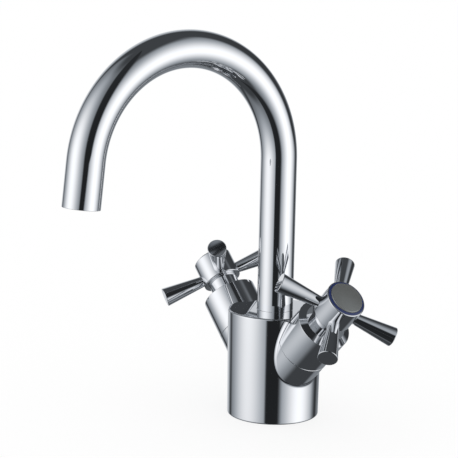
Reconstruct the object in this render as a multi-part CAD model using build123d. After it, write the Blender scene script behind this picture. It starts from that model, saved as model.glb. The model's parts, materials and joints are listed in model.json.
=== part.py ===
from build123d import *
import os
from math import cos, radians, sin, sqrt

# Basin mixer tap: a chromed body with two valves at 45 degrees, each with a cross handle,
# and a swan-neck spout that turns on the body.
# The origin is the centre of the base and +Z is up. The spout points along -Y,
# the cold valve leans towards +X and the hot valve towards -X.

# Body
BODY_BASE_R = 25.0
BODY_TOP_R = 25.6
BODY_H = 58.4
BODY_FOOT_ROUND = 1.0
BODY_TOP_ROUND = 1.0
BODY_SHOULDER = 1.2
BLANK_H = 84.0
BLANK_REACH = 70.0
SEAL_GROOVE_IN = 21.0
SEAL_GROOVE_OUT = 23.4
SEAL_GROOVE_DEPTH = 2.0

# Connections in the underside
INLET_X = 10.0
INLET_R = 5.0
INLET_DEPTH = 11.0
INLET_WAY_R = 3.0
STUD_Y = 13.0
STUD_R = 4.0
STUD_DEPTH = 14.0

# Spout
TUBE_R = 9.8
TUBE_WALL = 1.0
TUBE_FOOT_Z = 54.2
RISER_TOP_Z = 140.5
ARCH_R = 60.6
ARCH_SWEEP = 173.5
OUTLET_STRAIGHT = 23.3
SPOUT_BORE_R = 8.55
SPOUT_BORE_FLOOR = 41.0
SPOUT_SEAT_R = 10.05
SPOUT_SEAT_Z = 53.4
MIX_CHAMBER_R = 5.0
MIX_CHAMBER_FLOOR = 36.5
MIX_WAY_R = 3.0
MIX_WAY_Z = 38.0
MIX_WAY_REACH = 11.0
SPIGOT_R = 8.5
SPIGOT_BORE_R = 6.5
SPIGOT_LOW = 42.0
SPIGOT_SHOULDER = 54.4
SPIGOT_TOP = 67.0
GROOVE_FLOOR_R = 7.3
SPIGOT_ORING_R = 0.59
SPIGOT_ORING_Z = (44.4, 52.0)
SPIGOT_ORING_GROOVE = 1.6
GRUB_Z = 48.0
GRUB_R = 2.5
GRUB_TIP_R = 1.3
GRUB_GROOVE = 3.4
GRUB_END_Y = 24.2
GRUB_TIP_Y = 7.5

# Outlet, measured inwards from the tube's cut end
BUSH_SET_BACK = 0.8
BUSH_LENGTH = 12.0
BUSH_BORE_R = 8.25
AERATOR_LENGTH = 8.0
AERATOR_BORE_R = 7.3
AERATOR_SET_BACK = 0.4
CORE_THICKNESS = 4.5
CORE_SET_BACK = 1.2
CORE_HOLE_R = 0.8
CORE_PITCH = 2.05
WASHER_THICKNESS = 1.6

# Valves: distances along the valve's axis start where it crosses the body's axis
VALVE_TILT = 45.0
VALVE_CROSS_Z = 16.5
STUB_R = 15.0
STUB_ROOT = 8.0
STUB_FACE = 36.9
STUB_FILLET = 2.5
SEAM_BEVEL = 0.25
VALVE_BORE_R = 9.4
VALVE_SEAT = 13.0
THREAD_R = 10.45
THREAD_START = 25.0
ORING_SEAT_R = 11.6
ORING_SEAT_DEPTH = 1.5
BONNET_WALL = 1.3
BONNET_POCKET_GAP = 0.12
BONNET_RIM = 59.0
BONNET_TOP = 60.9
BONNET_LAND_R = 11.3
BONNET_ROOF = 57.5
BOSS_R = 10.4
BOSS_START = 51.0

# Cartridge
SEAT_SEAL_TOP = 16.2
SEAT_SEAL_BORE_R = 6.9
CAGE_R = 9.2
CAGE_BORE_R = 8.1
DISC_THICKNESS = 3.0
COLLAR_R = 12.7
COLLAR_TOP = 38.7
HEX_ACROSS_FLATS = 21.5
HEX_TOP = 42.0
HOUSING_R = 8.5
HOUSING_TOP = 57.2
SPINDLE_R = 4.5
RUNNING_GAP = 0.05
SPINDLE_FLANGE_R = 7.6
SPINDLE_FLANGE_TOP = 25.0
SPINDLE_TOP = 69.9
SPLINE_START = 59.3
SPLINE_TEETH = 20
SPLINE_TIP_R = 4.0
SPLINE_ROOT_R = 3.6
SPINDLE_ORING_R = 0.74
SPINDLE_ORING_AT = (46.0, 51.0)
CIRCLIP_R = 6.0
CIRCLIP_FLOOR_R = 3.7
CIRCLIP_START = 57.4
CIRCLIP_THICKNESS = 0.8

# Handle
NECK_R = 8.3
NECK_START = 59.6
HUB_R = 10.85
HUB_START = 68.4
HUB_TOP = 83.2
HUB_LOWER_ROUND = 1.6
HUB_RIM_BEVEL = 0.3
HUB_WEB = 70.2
SCREW_SEAT = 73.6
SCREW_WELL_R = 5.0
INDEX_SEAT = 81.7
INDEX_SEAT_R = 10.35
ARM_AT = 72.7
ARM_REACH = 33.8
ARM_SEAT = 9.6
ARM_ROOT_R = 3.1
ARM_TIP_R = 5.3
ARM_TAPER_START = 11.2
ARM_TIP_ROUND = 0.35
ARM_STUD_R = 2.0
ARM_STUD_END = 6.1
ARM_FIT = 0.04
COLD_REST_ANGLE = 51.7
HOT_REST_ANGLE = -30.8
SCREW_R = 2.0
SCREW_HEAD_R = 3.6
SCREW_HEAD_H = 2.8
SCREW_END = 61.6
SCREW_HEX_R = 1.7
CAP_R = 9.3
CAP_UNDERSIDE = 83.05
CAP_EDGE = 84.0
CAP_CROWN = 84.9
CAP_STEM_R = 4.9
CAP_STEM_END = 77.6


def rod(radius, low, high):
    """Round bar about Z between two heights."""
    return Pos(0, 0, low) * Cylinder(radius, high - low, align=(Align.CENTER, Align.CENTER, Align.MIN))


def ring(inner, outer, low, high):
    """Plain ring about Z between two heights."""
    return rod(outer, low, high) - rod(inner, low, high)


def turned(*outline):
    """Solid of revolution about Z from its (radius, height) corners."""
    corners = [(radius, 0, height) for radius, height in outline]
    return revolve(make_face(Polyline(*corners, close=True)), Axis.Z)


def o_ring(middle_radius, section_radius, height):
    """Round rubber ring lying about Z."""
    return Pos(0, 0, height) * Torus(middle_radius, section_radius)


def hexagon(across_flats, low, high):
    """Hexagonal bar about Z."""
    corner_radius = across_flats / sqrt(3)
    return Pos(0, 0, low) * extrude(RegularPolygon(corner_radius, 6), high - low)


def spline(extra, low, high):
    """Toothed bar about Z, with every radius larger by extra."""
    step = 360.0 / (2 * SPLINE_TEETH)
    corners = []
    for index in range(2 * SPLINE_TEETH):
        radius = (SPLINE_TIP_R if index % 2 else SPLINE_ROOT_R) + extra
        angle = radians(step * index)
        corners.append((radius * cos(angle), radius * sin(angle)))
    return Pos(0, 0, low) * extrude(make_face(Polyline(*corners, close=True)), high - low)


def valve_place(side):
    """Frame of a valve: Z along its axis, X towards the user. side is 1 for cold, -1 for hot."""
    lean = radians(VALVE_TILT)
    frame = Plane(
        origin=(0, 0, VALVE_CROSS_Z),
        x_dir=(0, -1, 0),
        z_dir=(side * sin(lean), 0, cos(lean)),
    )
    return frame.location


def outlet_place():
    """Frame of the outlet: Z along the stream, its origin in the middle of the cut end."""
    turn = radians(ARCH_SWEEP)
    stream = Vector(0, -sin(turn), cos(turn))
    arch_end = Vector(0, -ARCH_R * (1 - cos(turn)), RISER_TOP_Z + ARCH_R * sin(turn))
    return Plane(origin=arch_end + stream * OUTLET_STRAIGHT, x_dir=(1, 0, 0), z_dir=stream).location


def make_body():
    """Cast body with its two stubs, bored for the valves, the spout and the supply."""
    lean_out = (BODY_TOP_R - BODY_BASE_R) / BODY_H
    spin = Rot(0, 0, 90)
    blank = spin * turned(
        (0, 0),
        (BODY_BASE_R, 0),
        (BODY_BASE_R + lean_out * BLANK_H, BLANK_H),
        (0, BLANK_H),
    )
    for side in (1, -1):
        blank += valve_place(side) * spin * rod(STUB_R, STUB_ROOT, BLANK_REACH)
    joins = blank.edges().filter_by(lambda edge: edge.geom_type not in (GeomType.CIRCLE, GeomType.LINE))
    body = fillet(joins, STUB_FILLET)
    foot_edge = body.edges().filter_by(GeomType.CIRCLE).sort_by(Axis.Z)[0]
    body = fillet(foot_edge, BODY_FOOT_ROUND)

    shoulder = BODY_H - BODY_SHOULDER
    crown = spin * turned(
        (0, shoulder),
        (BODY_TOP_R - lean_out * BODY_SHOULDER, shoulder),
        (BODY_TOP_R, BODY_H),
        (0, BODY_H),
    )
    crown = fillet(crown.edges().filter_by(GeomType.CIRCLE).sort_by(Axis.Z)[-1], BODY_TOP_ROUND)
    pocket_r = STUB_R + BONNET_POCKET_GAP
    valve_bore = turned(
        (0, VALVE_SEAT),
        (VALVE_BORE_R, VALVE_SEAT),
        (VALVE_BORE_R, THREAD_START),
        (THREAD_R, THREAD_START),
        (THREAD_R, STUB_FACE - ORING_SEAT_DEPTH),
        (ORING_SEAT_R, STUB_FACE - ORING_SEAT_DEPTH),
        (ORING_SEAT_R, STUB_FACE),
        (STUB_R - SEAM_BEVEL, STUB_FACE),
        (pocket_r, STUB_FACE - SEAM_BEVEL - BONNET_POCKET_GAP),
        (pocket_r, BLANK_REACH + 1),
        (0, BLANK_REACH + 1),
    )
    for side in (1, -1):
        body -= valve_place(side) * valve_bore
        crown -= valve_place(side) * valve_bore
    body -= Pos(0, 0, shoulder) * Box(200, 200, BLANK_H, align=(Align.CENTER, Align.CENTER, Align.MIN))
    body += crown
    for side in (1, -1):
        inlet = rod(INLET_R, 0, INLET_DEPTH)
        inlet_way = rod(INLET_WAY_R, 0, VALVE_CROSS_Z + VALVE_SEAT)
        body -= Pos(side * INLET_X, 0, 0) * (inlet + inlet_way)
    body -= rod(SPOUT_SEAT_R, SPOUT_SEAT_Z, BODY_H + 1)
    body -= rod(SPOUT_BORE_R, SPOUT_BORE_FLOOR, BODY_H)
    body -= rod(MIX_CHAMBER_R, MIX_CHAMBER_FLOOR, SPOUT_BORE_FLOOR)
    body -= Pos(0, 0, MIX_WAY_Z) * Rot(0, 90, 0) * Cylinder(MIX_WAY_R, 2 * MIX_WAY_REACH)
    body -= ring(SEAL_GROOVE_IN, SEAL_GROOVE_OUT, 0, SEAL_GROOVE_DEPTH)
    body -= Pos(0, STUD_Y, 0) * rod(STUD_R, 0, STUD_DEPTH)
    body -= Pos(0, 0, GRUB_Z) * Rot(-90, 0, 0) * rod(GRUB_R, 0, BODY_TOP_R + 1)
    return body


def make_base_seal():
    """Flat rubber ring that fills the groove in the base."""
    gap = 0.05
    return ring(SEAL_GROOVE_IN + gap, SEAL_GROOVE_OUT - gap, 0, SEAL_GROOVE_DEPTH - gap)


def make_slip_ring():
    """Plastic ring between the body's seat and the foot of the tube."""
    return ring(SPIGOT_R + 0.2, SPOUT_SEAT_R - 0.1, SPOUT_SEAT_Z, TUBE_FOOT_Z - RUNNING_GAP)


def make_grub_screw():
    """Set screw in the back of the body, with a hex socket and a dog point."""
    screw = rod(GRUB_R, SPOUT_BORE_R + 1.0, GRUB_END_Y) + rod(GRUB_TIP_R, GRUB_TIP_Y, GRUB_END_Y)
    screw -= hexagon(2.5, GRUB_END_Y - 3.0, GRUB_END_Y)
    return Pos(0, 0, GRUB_Z) * Rot(-90, 0, 0) * screw


def make_bonnet():
    """Cover over a valve: a shell with a bevelled rim and a threaded boss under its roof."""
    edge = 0.25
    bore = STUB_R - BONNET_WALL
    return turned(
        (STUB_R - SEAM_BEVEL, STUB_FACE),
        (STUB_R, STUB_FACE + SEAM_BEVEL),
        (STUB_R, BONNET_RIM - edge),
        (STUB_R - edge, BONNET_RIM + edge / 2),
        (BONNET_LAND_R + edge, BONNET_TOP - edge / 2),
        (BONNET_LAND_R - edge, BONNET_TOP),
        (HOUSING_R + RUNNING_GAP, BONNET_TOP),
        (HOUSING_R + RUNNING_GAP, BOSS_START),
        (BOSS_R, BOSS_START),
        (BOSS_R, BONNET_ROOF),
        (bore - 1.0, BONNET_ROOF),
        (bore, BONNET_ROOF - 1.0),
        (bore, STUB_FACE),
    )


def make_cartridge():
    """Brass headwork: cage with two windows, thread, hex and the tube that guides the spindle."""
    oring_floor = THREAD_R - 0.35
    groove_start = STUB_FACE - ORING_SEAT_DEPTH
    shape = rod(CAGE_R, SEAT_SEAL_TOP, THREAD_START + 1)
    shape += rod(THREAD_R - RUNNING_GAP, THREAD_START + 0.3, groove_start)
    shape += rod(oring_floor, groove_start, STUB_FACE)
    shape += rod(COLLAR_R, STUB_FACE, COLLAR_TOP)
    shape += hexagon(HEX_ACROSS_FLATS, COLLAR_TOP, HEX_TOP)
    shape += rod(HOUSING_R, HEX_TOP, HOUSING_TOP)
    shape -= rod(CAGE_BORE_R, SEAT_SEAL_TOP, SPINDLE_FLANGE_TOP + RUNNING_GAP)
    shape -= rod(SPINDLE_R + RUNNING_GAP, SEAT_SEAL_TOP, HOUSING_TOP)
    window = Pos(0, 0, THREAD_START - 2.8) * Box(2 * CAGE_R + 2, 8.0, 4.4)
    return shape - window


def make_seat_seal():
    """Rubber washer between the valve seat and the fixed disc."""
    return ring(SEAT_SEAL_BORE_R, CAGE_R, VALVE_SEAT, SEAT_SEAL_TOP)


def make_fixed_disc():
    """Ceramic disc with the two ports, which stays still."""
    low = SEAT_SEAL_TOP
    disc = rod(CAGE_BORE_R - RUNNING_GAP, low, low + DISC_THICKNESS)
    for side in (1, -1):
        disc -= Pos(side * 4.4, 0, 0) * rod(2.3, low, low + DISC_THICKNESS)
    return disc


def make_moving_disc():
    """Ceramic disc whose two notches uncover the ports after a quarter turn."""
    low = SEAT_SEAL_TOP + DISC_THICKNESS + 0.02
    high = low + DISC_THICKNESS
    disc = rod(CAGE_BORE_R - 0.2, low, high)
    for side in (1, -1):
        disc -= Pos(0, side * 7.2, 0) * rod(4.6, low, high)
    return disc - Pos(0, 0, high) * Box(3.0, 4.0, 2.0)


def make_spindle():
    """Spindle: a tongue in the moving disc, a flange, the sealed shank and the splined end."""
    disc_top = SEAT_SEAL_TOP + 2 * DISC_THICKNESS + 0.02
    shape = rod(SPINDLE_FLANGE_R, disc_top + 0.1, SPINDLE_FLANGE_TOP)
    shape += Pos(0, 0, disc_top) * Box(2.9, 3.9, 1.9)
    shape += rod(SPINDLE_R, SPINDLE_FLANGE_TOP, SPLINE_START)
    shape += spline(0, SPLINE_START, SPINDLE_TOP)
    groove = 2 * SPINDLE_ORING_R + 0.2
    for height in SPINDLE_ORING_AT:
        shape -= ring(3.0, SPINDLE_R + 1, height - groove / 2, height + groove / 2)
    clip_low = CIRCLIP_START - RUNNING_GAP
    clip_high = CIRCLIP_START + CIRCLIP_THICKNESS + RUNNING_GAP
    shape -= ring(CIRCLIP_FLOOR_R, SPINDLE_R + 1, clip_low, clip_high)
    return shape - rod(SCREW_R, SCREW_END - 1, SPINDLE_TOP)


def make_circlip():
    """Open spring ring that keeps the spindle in the cartridge."""
    clip = ring(CIRCLIP_FLOOR_R + 0.02, CIRCLIP_R, CIRCLIP_START, CIRCLIP_START + CIRCLIP_THICKNESS)
    return clip - Pos(CIRCLIP_R, 0, CIRCLIP_START) * Box(2 * CIRCLIP_R, 4.5, 4.0)


def make_hub():
    """Handle hub: neck, barrel, the wells for the screw and the index, and four arm seats."""
    hub = turned(
        (0, NECK_START),
        (NECK_R, NECK_START),
        (NECK_R, HUB_START - 0.6),
        (NECK_R + 0.6, HUB_START),
        (HUB_R, HUB_START),
        (HUB_R, HUB_TOP - HUB_RIM_BEVEL),
        (HUB_R - HUB_RIM_BEVEL, HUB_TOP),
        (0, HUB_TOP),
    )
    lower_edges = hub.edges().filter_by(GeomType.CIRCLE).group_by(Axis.Z)[2]
    hub = fillet(lower_edges.sort_by(SortBy.RADIUS)[-1], HUB_LOWER_ROUND)
    hub -= rod(INDEX_SEAT_R, INDEX_SEAT, HUB_TOP + 1)
    hub -= rod(SCREW_WELL_R, SCREW_SEAT, HUB_TOP)
    hub -= rod(SCREW_R + 0.15, HUB_WEB - 1, SCREW_SEAT)
    hub -= spline(RUNNING_GAP, NECK_START - 1, HUB_WEB)
    seat = rod(ARM_ROOT_R + ARM_FIT, ARM_SEAT, HUB_R + 1)
    seat += rod(ARM_STUD_R + ARM_FIT, ARM_STUD_END - 0.1, ARM_SEAT)
    for index in range(4):
        hub -= Rot(0, 0, 90 * index) * Pos(0, 0, ARM_AT) * Rot(0, 90, 0) * seat
    return hub


def make_arm():
    """Flared arm with a threaded stud at its root, lying along X at the height of the seats."""
    flare = (ARM_TIP_R - ARM_ROOT_R) / (ARM_REACH - ARM_TAPER_START)
    round_start = ARM_REACH - ARM_TIP_ROUND
    arm = turned(
        (0, ARM_STUD_END),
        (ARM_STUD_R, ARM_STUD_END),
        (ARM_STUD_R, ARM_SEAT),
        (ARM_ROOT_R, ARM_SEAT),
        (ARM_ROOT_R, ARM_TAPER_START),
        (ARM_TIP_R - flare * ARM_TIP_ROUND, round_start),
        (ARM_TIP_R - ARM_TIP_ROUND, ARM_REACH),
        (0, ARM_REACH),
    )
    return Pos(0, 0, ARM_AT) * Rot(0, 90, 0) * arm


def make_handle_screw():
    """Cylinder-head screw that pulls the hub onto the spindle."""
    screw = rod(SCREW_R - 0.02, SCREW_END, SCREW_SEAT)
    screw += rod(SCREW_HEAD_R, SCREW_SEAT, SCREW_SEAT + SCREW_HEAD_H)
    head_top = SCREW_SEAT + SCREW_HEAD_H
    return screw - hexagon(2 * SCREW_HEX_R, head_top - 1.6, head_top)


def make_index_ring():
    """Coloured ring that shows as a bevel between the hub's rim and the cap."""
    outer = INDEX_SEAT_R - 0.1
    return turned(
        (6.0, INDEX_SEAT),
        (outer, INDEX_SEAT),
        (outer, HUB_TOP),
        (CAP_R + 0.1, CAP_EDGE),
        (CAP_R + 0.05, CAP_UNDERSIDE - 0.05),
        (6.0, CAP_UNDERSIDE - 0.05),
    )


def make_index_cap():
    """Slightly domed cap with a hollow stem that snaps into the screw well."""
    edge_round = 0.25
    outline = [
        Line((0, 0, CAP_UNDERSIDE), (CAP_R, 0, CAP_UNDERSIDE)),
        Line((CAP_R, 0, CAP_UNDERSIDE), (CAP_R, 0, CAP_EDGE)),
        Line((CAP_R, 0, CAP_EDGE), (CAP_R - edge_round, 0, CAP_EDGE + edge_round)),
    ]
    edge = (CAP_R - edge_round, 0, CAP_EDGE + edge_round)
    rise = CAP_CROWN - edge[2]
    crown_r = (edge[0] ** 2 + rise**2) / (2 * rise)
    half = edge[0] / 2
    middle = (half, 0, CAP_CROWN - crown_r + sqrt(crown_r**2 - half**2))
    outline.append(ThreePointArc(edge, middle, (0, 0, CAP_CROWN)))
    outline.append(Line((0, 0, CAP_CROWN), (0, 0, CAP_UNDERSIDE)))
    dome = revolve(make_face(outline), Axis.Z)
    return dome + ring(CAP_STEM_R - 0.9, CAP_STEM_R, CAP_STEM_END, CAP_UNDERSIDE)


def make_spout_tube():
    """Swan-neck tube: riser, arch and a short straight outlet."""
    start = Vector(0, 0, TUBE_FOOT_Z)
    riser_top = Vector(0, 0, RISER_TOP_Z)

    def on_arch(angle):
        turn = radians(angle)
        return Vector(0, -ARCH_R * (1 - cos(turn)), RISER_TOP_Z + ARCH_R * sin(turn))

    arch_end = on_arch(ARCH_SWEEP)
    outlet = outlet_place().position
    route = Wire([
        Line(start, riser_top).edge(),
        ThreePointArc(riser_top, on_arch(ARCH_SWEEP / 2), arch_end).edge(),
        Line(arch_end, outlet).edge(),
    ])
    section = Plane(origin=start, z_dir=(0, 0, 1)) * (Circle(TUBE_R) - Circle(TUBE_R - TUBE_WALL))
    return sweep(section, path=route)


def make_spigot():
    """Brass spigot: brazed into the tube above, turning in the body's bore below."""
    shape = rod(SPIGOT_R, SPIGOT_LOW, SPIGOT_SHOULDER)
    shape += rod(TUBE_R - TUBE_WALL - 0.02, SPIGOT_SHOULDER, SPIGOT_TOP)
    shape -= rod(SPIGOT_BORE_R, SPIGOT_LOW, SPIGOT_TOP)
    for height in SPIGOT_ORING_Z:
        low = height - SPIGOT_ORING_GROOVE / 2
        shape -= ring(GROOVE_FLOOR_R, SPIGOT_R + 1, low, low + SPIGOT_ORING_GROOVE)
    low = GRUB_Z - GRUB_GROOVE / 2
    return shape - ring(GROOVE_FLOOR_R, SPIGOT_R + 1, low, low + GRUB_GROOVE)


def make_outlet_bush():
    """Threaded bush brazed into the outlet."""
    outer = TUBE_R - TUBE_WALL - 0.02
    return ring(BUSH_BORE_R, outer, -BUSH_SET_BACK - BUSH_LENGTH, -BUSH_SET_BACK)


def make_aerator_housing():
    """Screwed ring of the aerator, with eight key notches in its rim."""
    outer = BUSH_BORE_R - RUNNING_GAP
    low = -AERATOR_SET_BACK - AERATOR_LENGTH
    housing = ring(AERATOR_BORE_R, outer, low, -AERATOR_SET_BACK)
    for index in range(8):
        notch = Pos(outer, 0, -AERATOR_SET_BACK) * Box(2.6, 1.2, 1.6)
        housing -= Rot(0, 0, 45 * index) * notch
    return housing


def make_aerator_core():
    """Plastic core with a honeycomb of fine holes."""
    high = -AERATOR_SET_BACK - CORE_SET_BACK
    low = high - CORE_THICKNESS
    core = rod(AERATOR_BORE_R - 0.05, low, high)
    reach = AERATOR_BORE_R - 0.8 - CORE_HOLE_R
    holes = []
    rows = int(reach / (CORE_PITCH * sqrt(3) / 2))
    for row in range(-rows, rows + 1):
        across = row * CORE_PITCH * sqrt(3) / 2
        for column in range(-4, 5):
            along = (column + (row % 2) / 2) * CORE_PITCH
            if along**2 + across**2 <= reach**2:
                holes.append(Pos(along, across, 0) * rod(CORE_HOLE_R, low, high))
    return core - holes


def make_aerator_washer():
    """Rubber washer behind the aerator."""
    low = -AERATOR_SET_BACK - AERATOR_LENGTH - WASHER_THICKNESS
    return ring(6.3, BUSH_BORE_R - 0.05, low, low + WASHER_THICKNESS)


def save(shape, node):
    """Write one node to its STEP file."""
    export_step(shape, f"parts/{node}.step")


def build():
    """Build every node and put it in its place."""
    save(make_body(), "body")
    save(make_base_seal(), "base_seal")
    save(make_slip_ring(), "spout_slip_ring")
    save(make_grub_screw(), "spout_grub_screw")
    save(make_spout_tube(), "spout_tube")
    save(make_spigot(), "spout_spigot")
    oring_middle = SPIGOT_R - SPIGOT_ORING_R + 0.02
    for name, height in zip(("lower", "upper"), SPIGOT_ORING_Z):
        save(o_ring(oring_middle, SPIGOT_ORING_R, height), f"spigot_oring_{name}")
    outlet = outlet_place()
    save(outlet * make_outlet_bush(), "outlet_bush")
    save(outlet * make_aerator_housing(), "aerator_housing")
    save(outlet * make_aerator_core(), "aerator_core")
    save(outlet * make_aerator_washer(), "aerator_washer")
    pieces = {
        "bonnet": make_bonnet(),
        "cartridge": make_cartridge(),
        "cartridge_oring": o_ring(10.85, 0.7, STUB_FACE - ORING_SEAT_DEPTH / 2),
        "fixed_disc": make_fixed_disc(),
        "seat_seal": make_seat_seal(),
        "moving_disc": make_moving_disc(),
        "spindle": make_spindle(),
        "circlip": make_circlip(),
        "handle_hub": make_hub(),
        "handle_screw": make_handle_screw(),
        "index_ring": make_index_ring(),
        "index_cap": make_index_cap(),
    }
    for index, height in enumerate(SPINDLE_ORING_AT):
        pieces[f"spindle_oring_{index + 1}"] = o_ring(SPINDLE_R - SPINDLE_ORING_R, SPINDLE_ORING_R, height)
    for index in range(4):
        pieces[f"handle_arm_{index + 1}"] = Rot(0, 0, 90 * index) * make_arm()
    for name, side, rest_angle in (("cold", 1, COLD_REST_ANGLE), ("hot", -1, HOT_REST_ANGLE)):
        place = valve_place(side) * Rot(0, 0, rest_angle)
        for piece, shape in pieces.items():
            save(place * shape, f"{name}_{piece}")


os.makedirs("parts", exist_ok=True)
build()
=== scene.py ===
import json
from math import acos, atan2, cos, pi, radians, sin, sqrt, tan

import bpy
import numpy as np
from mathutils import Matrix, Vector


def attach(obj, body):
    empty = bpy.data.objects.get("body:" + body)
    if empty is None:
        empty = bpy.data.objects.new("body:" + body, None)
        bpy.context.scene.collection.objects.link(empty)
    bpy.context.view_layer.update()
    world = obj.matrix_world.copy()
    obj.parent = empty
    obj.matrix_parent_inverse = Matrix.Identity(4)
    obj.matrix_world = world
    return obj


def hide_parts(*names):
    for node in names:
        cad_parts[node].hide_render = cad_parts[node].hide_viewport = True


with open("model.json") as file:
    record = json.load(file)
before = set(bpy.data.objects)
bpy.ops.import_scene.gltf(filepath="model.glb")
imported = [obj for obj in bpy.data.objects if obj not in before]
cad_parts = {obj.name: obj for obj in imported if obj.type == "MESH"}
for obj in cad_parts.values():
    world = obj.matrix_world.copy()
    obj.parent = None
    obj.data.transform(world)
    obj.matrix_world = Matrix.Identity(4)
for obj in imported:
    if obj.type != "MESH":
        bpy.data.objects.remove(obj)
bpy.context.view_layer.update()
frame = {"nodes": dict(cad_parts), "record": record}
MM = 0.001

# Lengths are in millimetres and angles in degrees. Z runs up, and the spout points to -Y.

# Body and its bores
BODY_BASE_R = 25.0
BODY_TOP_R = 25.6
BODY_H = 58.4
BODY_FOOT_ROUND = 1.0
BODY_TOP_ROUND = 1.0
BODY_SHOULDER = 1.2
SHOULDER_REACH = 9.0
SEAL_GROOVE_IN = 21.0
SEAL_GROOVE_OUT = 23.4
SEAL_GROOVE_DEPTH = 2.0
HOLE_START = -1.0
INLET_X = 10.0
INLET_R = 5.0
INLET_DEPTH = 11.0
INLET_WAY_R = 3.0
INLET_WAY_TOP = 29.5
STUD_Y = 13.0
STUD_R = 4.0
STUD_DEPTH = 14.0
SPOUT_BORE_R = 8.55
SPOUT_BORE_FLOOR = 41.0
SPOUT_SEAT_R = 10.05
SPOUT_SEAT_Z = 53.4
MIX_CHAMBER_R = 5.0
MIX_CHAMBER_FLOOR = 36.5
MIX_WAY_R = 3.0
MIX_WAY_Z = 38.0
MIX_WAY_REACH = 11.0
GRUB_Z = 48.0
GRUB_R = 2.5
GRUB_HOLE_END = 30.0

# Spout
TUBE_R = 9.8
TUBE_BORE_R = 8.8
TUBE_FOOT_Z = 54.2
RISER_TOP_Z = 140.5
ARCH_R = 60.6
ARCH_SWEEP = 173.5
OUTLET_STRAIGHT = 23.3
OUTLET_ROUND = 0.22
OUTLET_BORE_ROUND = 0.1

# Valves. Heights run along the valve's axis, from where it crosses the body's axis.
VALVE_TILT = 45.0
VALVE_CROSS_Z = 16.5
STUB_R = 15.0
STUB_ROOT = 8.0
STUB_FACE = 36.9
STUB_FILLET = 2.5
SEAM_BEVEL = 0.25
VALVE_BORE_R = 9.4
VALVE_SEAT = 13.0
THREAD_R = 10.45
THREAD_START = 25.0
ORING_SEAT_R = 11.6
ORING_SEAT_DEPTH = 1.5
BONNET_POCKET_GAP = 0.12
BONNET_POCKET_END = 80.0
BONNET_SEAM_ROUND = 0.22
BONNET_RIM = 59.0
BONNET_TOP = 60.9
BONNET_LAND_R = 11.3
BONNET_ROUND = 0.28
BONNET_HOLE_R = 8.33
BONNET_HOLE_ROUND = 0.1
BONNET_BORE_R = 13.7
BONNET_ROOF = 57.5
BONNET_ROOF_ROUND = 0.8
BONNET_MOUTH_R = 12.9
BONNET_MOUTH_H = 0.4
BOSS_R = 10.4
BOSS_START = 51.0

# Handles
REST_ANGLE = {"cold": 51.7, "hot": -30.8}
NECK_R = 8.3
NECK_START = 59.6
NECK_START_ROUND = 0.2
NECK_END_ROUND = 0.3
HUB_R = 10.85
HUB_START = 68.4
HUB_TOP = 83.2
HUB_ROUND = 0.6
HUB_RIM_ROUND = 0.5
HUB_BORE_R = 4.05
HUB_WEB = 70.2
SCREW_HOLE_R = 2.15
SCREW_SEAT = 73.6
SCREW_WELL_R = 5.0
INDEX_SEAT = 81.7
INDEX_SEAT_R = 10.25
RING_BORE_R = 6.0
RING_GAP = 0.05
RING_ROUND = 0.06
RING_DROP = 0.1
RING_FLOOR = 83.0
CAP_R = 9.0
CAP_STEM_R = 4.9
CAP_STEM_END = 77.6
CAP_UNDERSIDE = 83.05
CAP_EDGE = 83.85
CAP_CROWN = 84.9
CAP_ROUND = 0.55
CAP_EDGE_TURN = 80
ARM_COUNT = 4
ARM_AT = 72.7
ARM_STUD_R = 2.0
ARM_STUD_END = 6.1
ARM_SEAT = 9.6
ARM_ROOT_R = 3.1
ARM_TAPER_START = 11.2
ARM_TIP_R = 5.3
ARM_TIP_ROUND = 0.35
ARM_REACH = 33.8

# Fineness of the meshes
TURNED_SIDES = 192
ARM_SIDES = 128
TUBE_SIDES = 112
RISER_STEPS = 6
ARCH_STEPS = 121
ROUND_STEPS = 6
OUTLET_BORE_STEPS = 3
CAP_EDGE_STEPS = 8
CAP_DOME_STEPS = 12
FILLET_STEPS = 360

# Runs of an outline that turn by less than this share a smooth normal
CREASE = 28.0

# A length that counts as none, and one beyond any real distance
TINY = 1e-9
FAR = 1e9


# Turned shapes
def arc_points(corner, before, after, radius):
    """Points of a rounded corner between two straight runs of an outline."""
    c, b, a = (Vector(p) for p in (corner, before, after))
    u = (b - c).normalized()
    v = (a - c).normalized()
    half = acos(max(-1.0, min(1.0, u.dot(v)))) / 2
    back = radius / tan(half)
    middle = c + (u + v).normalized() * (radius / sin(half))
    start = c + u * back - middle
    end = c + v * back - middle
    turn = atan2(start.x * end.y - start.y * end.x, start.dot(end))
    points = []
    for index in range(ROUND_STEPS + 1):
        angle = turn * index / ROUND_STEPS
        x = start.x * cos(angle) - start.y * sin(angle)
        y = start.x * sin(angle) + start.y * cos(angle)
        points.append((middle.x + x, middle.y + y))
    return points


def outline(*corners):
    """Outline of (radius, height) or (radius, height, rounding) corners."""
    points = []
    for index, corner in enumerate(corners):
        if len(corner) == 3:
            before, after = corners[index - 1][:2], corners[index + 1][:2]
            points += arc_points(corner[:2], before, after, corner[2])
        else:
            points.append(corner)
    return points


def set_normals(data, normals):
    """Give a mesh its own normals, one for each face corner."""
    data.shade_smooth()
    data.normals_split_custom_set([tuple(n) for n in normals])


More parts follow.
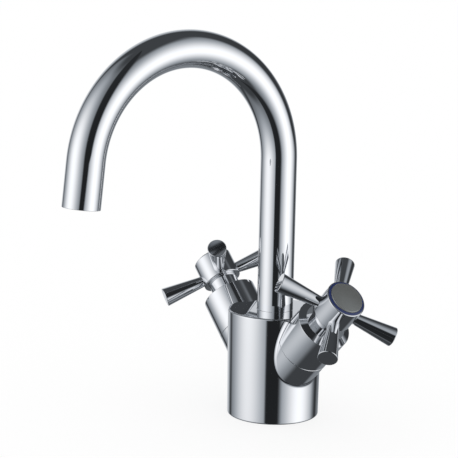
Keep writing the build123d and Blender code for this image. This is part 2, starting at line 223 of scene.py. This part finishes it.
class Turned:
    """A shape turned about Z from an outline that runs with the material on its left."""

    def __init__(self, points, place=None):
        """Keep the outline and the two normals at the ends of each of its runs."""
        self.points = np.array(points, float)
        self.place = place or Matrix.Identity(4)
        step = np.diff(self.points, axis=0)
        self.length = np.hypot(step[:, 0], step[:, 1])
        flat = np.stack([step[:, 1], -step[:, 0]], 1) / self.length[:, None]
        self.start = flat.copy()
        self.end = flat.copy()
        for index in range(len(flat) - 1):
            if flat[index] @ flat[index + 1] > cos(radians(CREASE)):
                mixed = flat[index] * self.length[index] + flat[index + 1] * self.length[index + 1]
                mixed /= np.hypot(*mixed)
                self.end[index] = mixed
                self.start[index + 1] = mixed

    def mesh(self, name, sides=TURNED_SIDES):
        """Mesh of the turned shape, in metres, with exact normals."""
        turn = np.linspace(0, 2 * pi, sides, endpoint=False)
        across = np.stack([np.cos(turn), np.sin(turn)], 1)
        verts = []
        rows = []
        for radius, height in self.points:
            if radius < TINY:
                rows.append([len(verts)] * sides)
                verts.append((0, 0, height))
            else:
                rows.append(list(range(len(verts), len(verts) + sides)))
                verts += [(radius * c, radius * s, height) for c, s in across]
        faces = []
        normals = []
        for index in range(len(self.points) - 1):
            low, high = rows[index], rows[index + 1]
            n0, n1 = self.start[index], self.end[index]
            for k in range(sides):
                m = (k + 1) % sides
                loop = [(low[k], n0, k), (low[m], n0, m), (high[m], n1, m), (high[k], n1, k)]
                if low[k] == low[m]:
                    loop.pop(1)
                if high[k] == high[m]:
                    loop.pop(-1)
                faces.append([v for v, _, _ in loop])
                normals += [(n[0] * across[j][0], n[0] * across[j][1], n[1]) for _, n, j in loop]
        data = bpy.data.meshes.new(name)
        data.from_pydata([self.place @ Vector(v) * MM for v in verts], [], faces)
        data.update()
        spin = self.place.to_3x3()
        set_normals(data, [spin @ Vector(n) for n in normals])
        return data

    def fit(self, points):
        """Distance of points to the shape, and its normals there, in the common frame."""
        inverse = np.array(self.place.inverted())
        local = points @ inverse[:3, :3].T + inverse[:3, 3]
        radius = np.hypot(local[:, 0], local[:, 1])
        flat = np.stack([radius, local[:, 2]], 1)
        best = np.full(len(flat), FAR)
        normal = np.zeros((len(flat), 2))
        for index in range(len(self.length)):
            a = self.points[index]
            along = self.points[index + 1] - a
            share = np.clip((flat - a) @ along / self.length[index] ** 2, 0, 1)[:, None]
            gap = np.hypot(*(flat - a - share * along).T)
            mixed = self.start[index] * (1 - share) + self.end[index] * share
            closer = gap < best
            best[closer] = gap[closer]
            normal[closer] = mixed[closer]
        normal /= np.hypot(*normal.T)[:, None]
        spokes = local[:, :2] / np.maximum(radius, TINY)[:, None]
        whole = np.column_stack([normal[:, :1] * spokes, normal[:, 1]])
        return best, whole @ np.array(self.place)[:3, :3].T


class Fillet:
    """Rounded inside corner between body and stub, as the path of a ball that touches both."""

    SEARCH_END = 90.0
    HALVINGS = 50
    BATCH = 4000

    def __init__(self, place, radius):
        """Find the ball's middles round the stub, by halving the height range of each."""
        self.radius = radius
        turn = np.linspace(0, 2 * pi, FILLET_STEPS, endpoint=False)
        spin = np.array(place)[:3, :3]
        spokes = np.stack([np.cos(turn), np.sin(turn), 0 * turn], 1) @ spin.T
        start = np.array(place)[:3, 3] + (STUB_R + radius) * spokes
        low, high = np.zeros(FILLET_STEPS), np.full(FILLET_STEPS, self.SEARCH_END)
        for _ in range(self.HALVINGS):
            middle = (low + high) / 2
            self.balls = start + middle[:, None] * spin[:, 2]
            from_axis = np.hypot(self.balls[:, 0], self.balls[:, 1])
            inside = from_axis < body_radius(self.balls[:, 2]) + radius
            low = np.where(inside, middle, low)
            high = np.where(inside, high, middle)

    def fit(self, points):
        """Distance of points to the fillet, and its normals there."""
        gap = np.full(len(points), FAR)
        normal = np.zeros((len(points), 3))
        along = np.roll(self.balls, -1, 0) - self.balls
        for first in range(0, len(points), self.BATCH):
            batch = slice(first, first + self.BATCH)
            part = points[batch]
            nearest = np.argmin(((part[:, None] - self.balls[None]) ** 2).sum(2), 1)
            for index in (nearest, nearest - 1):
                run = along[index]
                share = ((part - self.balls[index]) * run).sum(1) / (run * run).sum(1)
                share = np.clip(share, 0, 1)
                to_ball = self.balls[index] + share[:, None] * run - part
                far = np.linalg.norm(to_ball, axis=1)
                off = np.abs(far - self.radius)
                closer = off < gap[batch]
                gap[batch][closer] = off[closer]
                normal[batch][closer] = (to_ball / far[:, None])[closer]
        return gap, normal


def dressed(name, data, shapes):
    """Give each face of a mesh the exact normals of the shape that it lies on."""
    facing_weight = 0.5
    data.name = name
    data.materials.clear()
    centres = np.array([p.center for p in data.polygons]) / MM
    facing = np.array([p.normal for p in data.polygons])
    gaps = []
    for shape in shapes:
        gap, normal = shape.fit(centres)
        gaps.append(gap + facing_weight * (1 - np.abs((normal * facing).sum(1))))
    owner = np.argmin(np.array(gaps), 0)
    corners = np.array([data.vertices[l.vertex_index].co for l in data.loops]) / MM
    face_of = np.repeat(np.arange(len(data.polygons)), [p.loop_total for p in data.polygons])
    normals = np.zeros((len(corners), 3))
    for index, shape in enumerate(shapes):
        mine = owner[face_of] == index
        if mine.any():
            normals[mine] = shape.fit(corners[mine])[1]
    flip = (normals * facing[face_of]).sum(1) < 0
    normals[flip] *= -1
    set_normals(data, normals)
    return data


# Finishes
class Nodes:
    """Short calls for building a node tree, with the socket numbers of a Mix node for colours."""

    MIX_SHARE, MIX_FIRST, MIX_SECOND, MIX_RESULT = 0, 6, 7, 2

    def __init__(self, tree):
        """Start from an empty tree."""
        self.tree = tree
        tree.nodes.clear()

    def new(self, kind, **settings):
        """New node with its settings."""
        node = self.tree.nodes.new(kind)
        for key, value in settings.items():
            setattr(node, key, value)
        return node

    def put(self, socket, value):
        """Link an output to a socket, or set the socket to a plain value."""
        if isinstance(value, bpy.types.NodeSocket):
            self.tree.links.new(value, socket)
        else:
            socket.default_value = value

    def math(self, operation, *values):
        """Result of a math node."""
        node = self.new("ShaderNodeMath", operation=operation)
        for socket, value in zip(node.inputs, values):
            self.put(socket, value)
        return node.outputs[0]

    def times(self, first, second):
        """Product of two values."""
        return self.math("MULTIPLY", first, second)

    def plus(self, first, second):
        """Sum of two values."""
        return self.math("ADD", first, second)

    def minus(self, first, second):
        """First value less the second."""
        return self.math("SUBTRACT", first, second)

    def ease(self, value, low, high, bottom=0.0, top=1.0):
        """Smooth step from bottom at low to top at high."""
        node = self.new("ShaderNodeMapRange", interpolation_type="SMOOTHSTEP")
        for socket, item in zip(node.inputs, (value, low, high, bottom, top)):
            self.put(socket, item)
        return node.outputs[0]

    def window(self, value, low, high, soft):
        """1 between two values and 0 outside, with soft edges."""
        rise = self.ease(value, low - soft, low + soft)
        fall = self.ease(value, high - soft, high + soft)
        return self.minus(rise, fall)

    def mix(self, share, first, second):
        """Colour between two colours."""
        node = self.new("ShaderNodeMix", data_type="RGBA")
        self.put(node.inputs[self.MIX_SHARE], share)
        self.put(node.inputs[self.MIX_FIRST], first)
        self.put(node.inputs[self.MIX_SECOND], second)
        return node.outputs[self.MIX_RESULT]

    def noise(self, scale, detail):
        """Noise that stays on the object as it moves."""
        place = self.new("ShaderNodeTexCoord")
        node = self.new("ShaderNodeTexNoise")
        self.put(node.inputs["Vector"], place.outputs["Object"])
        self.put(node.inputs["Scale"], scale)
        self.put(node.inputs["Detail"], detail)
        self.put(node.inputs["Roughness"], NOISE_ROUGHNESS)
        return node.outputs["Fac"]


NOISE_ROUGHNESS = 0.5
NOISE_DETAIL = 3.0
ROUGH_SCALE = 0.37
ROUGH_RANGE = (0.3, 0.7)
BUMP_SCALE = 900.0
BUMP_DETAIL = 2.0


def finish_of(name, first, second, metallic, rough, scale, bump=0.0):
    """Material whose colour, roughness and surface vary by noise."""
    material = bpy.data.materials.new(name)
    material.use_nodes = True
    n = Nodes(material.node_tree)
    shader = n.new("ShaderNodeBsdfPrincipled")
    out = n.new("ShaderNodeOutputMaterial")
    n.put(out.inputs["Surface"], shader.outputs[0])
    grain = n.noise(scale, NOISE_DETAIL)
    n.put(shader.inputs["Base Color"], n.mix(grain, (*first, 1), (*second, 1)))
    wear = n.noise(scale * ROUGH_SCALE, NOISE_DETAIL)
    n.put(shader.inputs["Roughness"], n.ease(wear, *ROUGH_RANGE, *rough))
    shader.inputs["Metallic"].default_value = metallic
    if bump:
        lift = n.new("ShaderNodeBump")
        lift.inputs["Strength"].default_value = 1.0
        lift.inputs["Distance"].default_value = bump
        n.put(lift.inputs["Height"], n.noise(BUMP_SCALE, BUMP_DETAIL))
        n.put(shader.inputs["Normal"], lift.outputs[0])
    return material


# Each slot's material: name, two colours, metallic, roughness, grains per metre, bump in metres
FINISHES = {
    "chrome": (
        "polished_chrome", (0.80, 0.81, 0.83), (0.84, 0.85, 0.865), 1.0, (0.030, 0.055), 60,
    ),
    "steel": (
        "satin_steel", (0.55, 0.56, 0.58), (0.66, 0.67, 0.69), 1.0, (0.22, 0.34), 300, 2e-6,
    ),
    "brass": (
        "turned_brass", (0.72, 0.56, 0.30), (0.80, 0.64, 0.36), 1.0, (0.20, 0.32), 260, 2e-6,
    ),
    "ceramic": (
        "ground_ceramic", (0.86, 0.85, 0.82), (0.91, 0.90, 0.87), 0.0, (0.12, 0.20), 200,
    ),
    "rubber": (
        "black_rubber", (0.020, 0.020, 0.021), (0.036, 0.036, 0.038), 0.0, (0.55, 0.75), 700, 8e-6,
    ),
    "white_plastic": (
        "moulded_plastic", (0.78, 0.79, 0.80), (0.84, 0.85, 0.86), 0.0, (0.35, 0.50), 500, 4e-6,
    ),
    "grey_cap": (
        "cap_grey", (0.235, 0.245, 0.240), (0.275, 0.285, 0.280), 0.6, (0.16, 0.24), 420, 1e-6,
    ),
    "blue_ring": (
        "blue_gloss", (0.015, 0.025, 0.095), (0.020, 0.034, 0.125), 0.0, (0.20, 0.30), 400, 2e-6,
    ),
    "red_ring": (
        "red_gloss", (0.230, 0.014, 0.014), (0.290, 0.022, 0.020), 0.0, (0.22, 0.32), 400, 2e-6,
    ),
}
finishes = {slot: finish_of(*row) for slot, row in FINISHES.items()}
for part in frame["record"]["subparts"]:
    node = frame["nodes"][part["node"]]
    node.data.materials.clear()
    node.data.materials.append(finishes[part["material_slot"]])


def piece(name, data, slot, body, *nodes):
    """Object of the tap that has a slot's finish, rides on a body and stands for CAD nodes."""
    obj = bpy.data.objects.new(name, data)
    bpy.context.scene.collection.objects.link(obj)
    data.materials.clear()
    data.materials.append(finishes[slot])
    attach(obj, body)
    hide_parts(*nodes)


# Places
def valve_place(side, turn=0.0):
    """Frame of a valve: Z on its axis, X towards the user before the turn. side is 1 for cold."""
    lean = radians(VALVE_TILT)
    z = Vector((side * sin(lean), 0, cos(lean)))
    x = Vector((0, -1, 0))
    y = z.cross(x)
    place = Matrix((x, y, z)).transposed().to_4x4()
    place.translation = (0, 0, VALVE_CROSS_Z)
    return place @ Matrix.Rotation(radians(turn), 4, "Z")


def body_radius(height):
    """Radius of the body's plain wall at a height."""
    return BODY_BASE_R + (BODY_TOP_R - BODY_BASE_R) * height / BODY_H


def hole(radius, low, high, place):
    """Plain round hole with its two ends."""
    return Turned([(0, low), (radius, low), (radius, high), (0, high)], place)


# Body. Its mesh is the CAD's own, with normals from the surfaces that the casting is made of.
SHOULDER_Z = BODY_H - BODY_SHOULDER
crosswise = Matrix.Translation((0, 0, MIX_WAY_Z)) @ Matrix.Rotation(radians(90), 4, "Y")
backward = Matrix.Translation((0, 0, GRUB_Z)) @ Matrix.Rotation(radians(-90), 4, "X")
body_surfaces = [
    Turned(outline(
        (0, 0),
        (SEAL_GROOVE_IN, 0),
        (SEAL_GROOVE_IN, SEAL_GROOVE_DEPTH),
        (SEAL_GROOVE_OUT, SEAL_GROOVE_DEPTH),
        (SEAL_GROOVE_OUT, 0),
        (BODY_BASE_R, 0, BODY_FOOT_ROUND),
        (BODY_TOP_R, BODY_H, BODY_TOP_ROUND),
        (SPOUT_SEAT_R, BODY_H),
        (SPOUT_SEAT_R, SPOUT_SEAT_Z),
        (SPOUT_BORE_R, SPOUT_SEAT_Z),
        (SPOUT_BORE_R, SPOUT_BORE_FLOOR),
        (MIX_CHAMBER_R, SPOUT_BORE_FLOOR),
        (MIX_CHAMBER_R, MIX_CHAMBER_FLOOR),
        (0, MIX_CHAMBER_FLOOR),
    )),
    Turned([(BODY_TOP_R, SHOULDER_Z), (BODY_TOP_R + SHOULDER_REACH, SHOULDER_Z)]),
    hole(MIX_WAY_R, -MIX_WAY_REACH, MIX_WAY_REACH, crosswise),
    hole(STUD_R, HOLE_START, STUD_DEPTH, Matrix.Translation((0, STUD_Y, 0))),
    hole(GRUB_R, 0, GRUB_HOLE_END, backward),
]
for side in (1, -1):
    place = valve_place(side)
    inlet_place = Matrix.Translation((side * INLET_X, 0, 0))
    pocket_r = STUB_R + BONNET_POCKET_GAP
    body_surfaces += [
        Turned([
            (0, VALVE_SEAT),
            (VALVE_BORE_R, VALVE_SEAT),
            (VALVE_BORE_R, THREAD_START),
            (THREAD_R, THREAD_START),
            (THREAD_R, STUB_FACE - ORING_SEAT_DEPTH),
            (ORING_SEAT_R, STUB_FACE - ORING_SEAT_DEPTH),
            (ORING_SEAT_R, STUB_FACE),
            (STUB_R - SEAM_BEVEL, STUB_FACE),
            (pocket_r, STUB_FACE - SEAM_BEVEL - BONNET_POCKET_GAP),
            (pocket_r, BONNET_POCKET_END),
        ], place),
        Turned([(STUB_R, STUB_ROOT), (STUB_R, STUB_FACE)], place),
        Fillet(place, STUB_FILLET),
        hole(INLET_R, HOLE_START, INLET_DEPTH, inlet_place),
        hole(INLET_WAY_R, HOLE_START, INLET_WAY_TOP, inlet_place),
    ]
body_mesh = dressed("tap_body_shell", frame["nodes"]["body"].data.copy(), body_surfaces)
piece("tap_body_shell", body_mesh, "chrome", "tap_body", "body")


# Spout
def tube_rings():
    """Rings of the tube's surface: middle, tilt, radius, and normal outwards and along the tube."""
    rings = []
    for height in np.linspace(TUBE_FOOT_Z, RISER_TOP_Z, RISER_STEPS)[:-1]:
        rings.append((Vector((0, 0, height)), 0.0, TUBE_R, (1.0, 0.0)))
    for turn in np.linspace(0, ARCH_SWEEP, ARCH_STEPS):
        a = radians(turn)
        middle = Vector((0, -ARCH_R * (1 - cos(a)), RISER_TOP_Z + ARCH_R * sin(a)))
        rings.append((middle, a, TUBE_R, (1.0, 0.0)))
    arch_end, tilt = rings[-1][:2]
    stream = Vector((0, -sin(tilt), cos(tilt)))
    for run in (OUTLET_STRAIGHT / 2, OUTLET_STRAIGHT - OUTLET_ROUND):
        rings.append((arch_end + stream * run, tilt, TUBE_R, (1.0, 0.0)))
    inside = [(middle, a, TUBE_BORE_R, (-1.0, 0.0)) for middle, a, _, _ in reversed(rings[:-1])]
    tip = arch_end + stream * OUTLET_STRAIGHT
    for index in range(1, ROUND_STEPS + 1):
        b = radians(90 * index / ROUND_STEPS)
        middle = tip - stream * (OUTLET_ROUND * (1 - sin(b)))
        rings.append((middle, tilt, TUBE_R - OUTLET_ROUND * (1 - cos(b)), (cos(b), sin(b))))
    rings.append((tip, tilt, TUBE_BORE_R + OUTLET_BORE_ROUND, (0.0, 1.0)))
    for index in range(1, OUTLET_BORE_STEPS + 1):
        b = radians(90 * index / OUTLET_BORE_STEPS)
        middle = tip - stream * (OUTLET_BORE_ROUND * (1 - cos(b)))
        radius = TUBE_BORE_R + OUTLET_BORE_ROUND * (1 - sin(b))
        rings.append((middle, tilt, radius, (-sin(b), cos(b))))
    return rings + inside


def tube_mesh(name):
    """Swan-neck tube with its wall, bent without seams, and its cut end rounded."""
    rings = tube_rings()
    verts, vert_normals = [], []
    for middle, a, radius, (out, ahead) in rings:
        up = Vector((0, -sin(a), cos(a)))
        back = Vector((0, cos(a), sin(a)))
        for k in range(TUBE_SIDES):
            t = 2 * pi * k / TUBE_SIDES
            spoke = Vector((1, 0, 0)) * cos(t) + back * sin(t)
            verts.append((middle + spoke * radius) * MM)
            vert_normals.append((spoke * out + up * ahead).normalized())
    faces = []
    for index in range(len(rings)):
        this, following = index * TUBE_SIDES, (index + 1) % len(rings) * TUBE_SIDES
        for k in range(TUBE_SIDES):
            m = (k + 1) % TUBE_SIDES
            faces.append((this + k, this + m, following + m, following + k))
    data = bpy.data.meshes.new(name)
    data.from_pydata(verts, [], faces)
    data.update()
    normals = [vert_normals[v] for face in faces[:-TUBE_SIDES] for v in face]
    foot_normals = [Vector((0, 0, -1)) for face in faces[-TUBE_SIDES:] for v in face]
    set_normals(data, normals + foot_normals)
    return data


piece("swan_neck_tube", tube_mesh("swan_neck_tube"), "chrome", "spout", "spout_tube")

# Valves and handles
bonnet_outline = outline(
    (BONNET_MOUTH_R, STUB_FACE),
    (STUB_R, STUB_FACE, BONNET_SEAM_ROUND),
    (STUB_R, BONNET_RIM, BONNET_ROUND),
    (BONNET_LAND_R, BONNET_TOP, BONNET_ROUND),
    (BONNET_HOLE_R, BONNET_TOP, BONNET_HOLE_ROUND),
    (BONNET_HOLE_R, BOSS_START),
    (BOSS_R, BOSS_START),
    (BOSS_R, BONNET_ROOF),
    (BONNET_BORE_R, BONNET_ROOF, BONNET_ROOF_ROUND),
    (BONNET_BORE_R, STUB_FACE + BONNET_MOUTH_H),
    (BONNET_MOUTH_R, STUB_FACE),
)
hub_outline = outline(
    (HUB_BORE_R, NECK_START),
    (NECK_R, NECK_START, NECK_START_ROUND),
    (NECK_R, HUB_START, NECK_END_ROUND),
    (HUB_R, HUB_START, HUB_ROUND),
    (HUB_R, HUB_TOP, HUB_RIM_ROUND),
    (INDEX_SEAT_R, HUB_TOP),
    (INDEX_SEAT_R, INDEX_SEAT),
    (SCREW_WELL_R, INDEX_SEAT),
    (SCREW_WELL_R, SCREW_SEAT),
    (SCREW_HOLE_R, SCREW_SEAT),
    (SCREW_HOLE_R, HUB_WEB),
    (HUB_BORE_R, HUB_WEB),
    (HUB_BORE_R, NECK_START),
)
arm_outline = outline(
    (0, ARM_STUD_END),
    (ARM_STUD_R, ARM_STUD_END),
    (ARM_STUD_R, ARM_SEAT),
    (ARM_ROOT_R, ARM_SEAT),
    (ARM_ROOT_R, ARM_TAPER_START),
    (ARM_TIP_R, ARM_REACH, ARM_TIP_ROUND),
    (0, ARM_REACH),
)
ring_outline = outline(
    (RING_BORE_R, INDEX_SEAT),
    (INDEX_SEAT_R - RING_GAP, INDEX_SEAT),
    (INDEX_SEAT_R - RING_GAP, HUB_TOP + RING_GAP, RING_ROUND),
    (CAP_R + RING_DROP, CAP_EDGE - RING_DROP, RING_ROUND),
    (CAP_R + RING_GAP, RING_FLOOR),
    (RING_BORE_R, RING_FLOOR),
    (RING_BORE_R, INDEX_SEAT),
)


def cap_outline():
    """Outline of the cap: stem, rounded edge and shallow dome."""
    points = [
        (CAP_STEM_R, CAP_STEM_END),
        (CAP_STEM_R, CAP_UNDERSIDE),
        (CAP_R, CAP_UNDERSIDE),
        (CAP_R, CAP_EDGE),
    ]
    for index in range(1, CAP_EDGE_STEPS + 1):
        turn = radians(CAP_EDGE_TURN * index / CAP_EDGE_STEPS)
        points.append((CAP_R - CAP_ROUND * (1 - cos(turn)), CAP_EDGE + CAP_ROUND * sin(turn)))
    edge_r, edge_z = points[-1]
    rise = CAP_CROWN - edge_z
    dome_r = (edge_r**2 + rise**2) / (2 * rise)
    for index in range(1, CAP_DOME_STEPS + 1):
        r = edge_r * (1 - index / CAP_DOME_STEPS)
        points.append((r, CAP_CROWN - dome_r + sqrt(dome_r**2 - r**2)))
    return points


def dress_valve(name, side, ring_slot):
    """Bonnet, hub, ring, cap and arms of a valve. side is 1 for cold."""
    place = valve_place(side, REST_ANGLE[name])
    handle = f"{name}_handle"
    bonnet = Turned(bonnet_outline, valve_place(side)).mesh("bonnet")
    piece(f"{name}_bonnet_shell", bonnet, "chrome", "tap_body", f"{name}_bonnet")
    hub = Turned(hub_outline, place).mesh("hub")
    piece(f"{name}_hub_shell", hub, "chrome", handle, f"{name}_handle_hub")
    ring = Turned(ring_outline, place).mesh("ring")
    piece(f"{name}_ring", ring, ring_slot, handle, f"{name}_index_ring")
    cap = Turned(cap_outline(), place).mesh("cap")
    piece(f"{name}_cap", cap, "grey_cap", handle, f"{name}_index_cap")
    lift = Matrix.Translation((0, 0, ARM_AT))
    lie = Matrix.Rotation(radians(90), 4, "Y")
    for index in range(ARM_COUNT):
        turn = Matrix.Rotation(radians(360 / ARM_COUNT * index), 4, "Z")
        arm = Turned(arm_outline, place @ turn @ lift @ lie).mesh("arm", ARM_SIDES)
        node = f"{name}_handle_arm_{index + 1}"
        piece(f"{name}_arm_{index + 1}", arm, "chrome", handle, node)


dress_valve("cold", 1, "blue_ring")
dress_valve("hot", -1, "red_ring")

# Studio. Azimuth runs from -Y towards +X. A softbox's edges differ above and below the horizon,
# in that order, and it spreads sideways, up and down from its middle.
DEGREES = 180 / pi
HORIZON = (-6.5, -0.5)
LEFT_BOX = {
    "start": (-76.7, -76.7),
    "start_soft": (5.8, 5.8),
    "end": (46.6, 31.7),
    "end_soft": (5.0, 3.3),
    "top": (58.4, 77.7),
    "bottom": (-73.8, -57.0),
    "middle": (-14.7, 4.6),
    "spread": (43.6, 43.5, 41.6),
    "strength": 1.18,
}
RIGHT_BOX = {
    "start": (84.6, 69.4),
    "start_soft": (4.8, 7.4),
    "end": (161.1, 171.9),
    "end_soft": (8.2, 14.3),
    "top": (46.5, 63.9),
    "bottom": (-65.9, -51.2),
    "middle": (121.4, -8.0),
    "spread": (40.7, 44.9, 36.7),
    "strength": 1.24,
}
BOX_FLOOR = 0.07
BACKDROP_MIDDLE = (-115.8, 6.6)
BACKDROP_REACH = (42.2, 2.0)
BACKDROP_LEVEL = 0.62
WALL_ABOVE = (0.0, 70.0, 0.040, 0.060)
WALL_BELOW = (-70.0, 0.0, 0.056, 0.038)
GAP_INSIDE = 6.0
GAP_OUTSIDE = 2.0
GAP_DARKENING = 0.56
TABLE_ACROSS = (-165.0, -95.0, 9.5)
TABLE_UPRIGHT = (-50.8, 9.2, 6.7)
TABLE_LEVEL = 0.19
TINT_RANGE = (0.15, 1.0)
DARK_TINT = (0.925, 1.0, 1.085, 1)
LIGHT_TINT = (0.99, 1.0, 1.02, 1)
WHITE = (1, 1, 1, 1)


def studio_world():
    """White room for the eye; in reflections, two softboxes, a backdrop, a table and dark walls."""
    world = bpy.data.worlds.new("studio")
    bpy.context.scene.world = world
    world.use_nodes = True
    world.cycles.sampling_method = "NONE"
    n = Nodes(world.node_tree)
    out = n.new("ShaderNodeOutputWorld")
    back = n.new("ShaderNodeBackground")
    n.put(out.inputs["Surface"], back.outputs[0])
    direction = n.new("ShaderNodeTexCoord").outputs["Generated"]
    parts = n.new("ShaderNodeSeparateXYZ")
    n.put(parts.inputs[0], direction)
    x, y, z = parts.outputs
    az = n.times(n.math("ARCTAN2", x, n.times(y, -1.0)), DEGREES)
    el = n.times(n.math("ARCSINE", z), DEGREES)
    low = n.ease(el, *HORIZON, 1.0, 0.0)

    def split(above, below):
        """Value that differs above and below the horizon."""
        return n.plus(n.times(low, below - above), above)

    def edge(middle, soft):
        """0 before an edge in azimuth and 1 after it."""
        return n.ease(az, n.minus(middle, soft), n.plus(middle, soft))

    def glow(middle, spread):
        """Glow of a softbox around its middle, down to a level far from it."""
        wide, tall_up, tall_down = spread
        side = n.math("DIVIDE", n.minus(az, middle[0]), wide)
        height = n.minus(el, middle[1])
        up = n.math("DIVIDE", n.math("MAXIMUM", height, 0.0), tall_up)
        down = n.math("DIVIDE", n.math("MINIMUM", height, 0.0), tall_down)
        square = n.plus(n.plus(n.times(side, side), n.times(up, up)), n.times(down, down))
        light = n.math("EXPONENT", n.times(square, -1.0))
        return n.plus(n.times(light, 1.0 - BOX_FLOOR), BOX_FLOOR)

    def softbox(start, start_soft, end, end_soft, top, bottom, middle, spread, strength):
        """Light of a softbox, and none beyond its edges."""
        before_end = n.minus(1.0, edge(split(*end), split(*end_soft)))
        across = n.times(edge(split(*start), split(*start_soft)), before_end)
        upright = n.times(n.ease(el, *top, 1.0, 0.0), n.ease(el, *bottom))
        return n.times(n.times(across, upright), n.times(glow(middle, spread), strength))

    def disc(middle, reach, top):
        """Soft round patch of light around a direction."""
        across, upright = (radians(angle) for angle in middle)
        outer, inner = (cos(radians(angle)) for angle in reach)
        flat = cos(upright)
        near = n.new("ShaderNodeVectorMath", operation="DOT_PRODUCT")
        n.put(near.inputs[0], direction)
        n.put(near.inputs[1], (sin(across) * flat, -cos(across) * flat, sin(upright)))
        return n.ease(near.outputs["Value"], outer, inner, 0.0, top)

    softboxes = n.math("MAXIMUM", softbox(**LEFT_BOX), softbox(**RIGHT_BOX))
    light = n.math("MAXIMUM", softboxes, disc(BACKDROP_MIDDLE, BACKDROP_REACH, BACKDROP_LEVEL))
    walls = n.math("MAXIMUM", n.ease(el, *WALL_ABOVE), n.ease(el, *WALL_BELOW))
    left_end, right_start = split(*LEFT_BOX["end"]), split(*RIGHT_BOX["start"])
    gap_start = n.ease(az, n.plus(left_end, -GAP_OUTSIDE), n.plus(left_end, GAP_INSIDE))
    gap_end = (n.minus(right_start, GAP_INSIDE), n.plus(right_start, GAP_OUTSIDE))
    gap = n.times(gap_start, n.ease(az, *gap_end, 1.0, 0.0))
    dark = n.times(walls, n.minus(1.0, n.times(gap, GAP_DARKENING)))
    table = n.times(n.window(az, *TABLE_ACROSS), n.window(el, *TABLE_UPRIGHT))
    level = n.plus(n.plus(dark, light), n.times(table, TABLE_LEVEL))

    shade = n.new("ShaderNodeVectorMath", operation="SCALE")
    n.put(shade.inputs[0], n.mix(n.ease(level, *TINT_RANGE), DARK_TINT, LIGHT_TINT))
    n.put(shade.inputs["Scale"], level)
    seen = n.new("ShaderNodeLightPath")
    mirror = n.math("MAXIMUM", seen.outputs["Is Glossy Ray"], seen.outputs["Is Transmission Ray"])
    n.put(back.inputs["Color"], n.mix(mirror, WHITE, shade.outputs[0]))
    back.inputs["Strength"].default_value = 1.0


studio_world()

# Floor
FLOOR_REACH = 8000.0
FLOOR_MATT = 0.2


def floor():
    """Wide pale floor that keeps the contact shadow."""
    r = FLOOR_REACH * MM
    data = bpy.data.meshes.new("floor")
    data.from_pydata([(-r, -r, 0), (r, -r, 0), (r, r, 0), (-r, r, 0)], [], [(0, 1, 2, 3)])
    obj = bpy.data.objects.new("floor", data)
    bpy.context.scene.collection.objects.link(obj)
    obj.visible_glossy = False
    material = bpy.data.materials.new("floor")
    material.use_nodes = True
    data.materials.append(material)
    n = Nodes(material.node_tree)
    out = n.new("ShaderNodeOutputMaterial")
    glow = n.new("ShaderNodeEmission")
    glow.inputs["Color"].default_value = WHITE
    glow.inputs["Strength"].default_value = 1.0
    matt = n.new("ShaderNodeBsdfDiffuse")
    matt.inputs["Color"].default_value = WHITE
    both = n.new("ShaderNodeMixShader")
    both.inputs[0].default_value = FLOOR_MATT
    n.put(both.inputs[1], glow.outputs[0])
    n.put(both.inputs[2], matt.outputs[0])
    n.put(out.inputs["Surface"], both.outputs[0])


floor()

# Camera. The focal length is in pixels of the photograph, and the sensor and lens in millimetres.
CAMERA_PLACE = (679.247, -538.329, 260.919)
CAMERA_AZIMUTH = 53.314
CAMERA_ELEVATION = 10.401
CAMERA_ROLL = 1.151
FOCAL_PIXELS = 1631.098
PHOTO_PIXELS = 458
SENSOR = 36.0
CLIP_START = 10.0
CLIP_END = 100000.0


def camera():
    """Camera at the photograph's viewpoint."""
    az, el, roll = (radians(a) for a in (CAMERA_AZIMUTH, CAMERA_ELEVATION, CAMERA_ROLL))
    ahead = Vector((-sin(az) * cos(el), cos(az) * cos(el), -sin(el)))
    right = Vector((cos(az), sin(az), 0))
    up = right.cross(ahead)
    rolled_right = right * cos(roll) + up * sin(roll)
    rolled_up = up * cos(roll) - right * sin(roll)
    data = bpy.data.cameras.new("camera")
    data.sensor_width = SENSOR
    data.lens = FOCAL_PIXELS * SENSOR / PHOTO_PIXELS
    data.clip_start = CLIP_START * MM
    data.clip_end = CLIP_END * MM
    obj = bpy.data.objects.new("camera", data)
    bpy.context.scene.collection.objects.link(obj)
    place = Matrix((rolled_right, rolled_up, -ahead)).transposed().to_4x4()
    place.translation = Vector(CAMERA_PLACE) * MM
    obj.matrix_world = place
    bpy.context.scene.camera = obj


camera()
bpy.context.scene.view_settings.view_transform = "Standard"
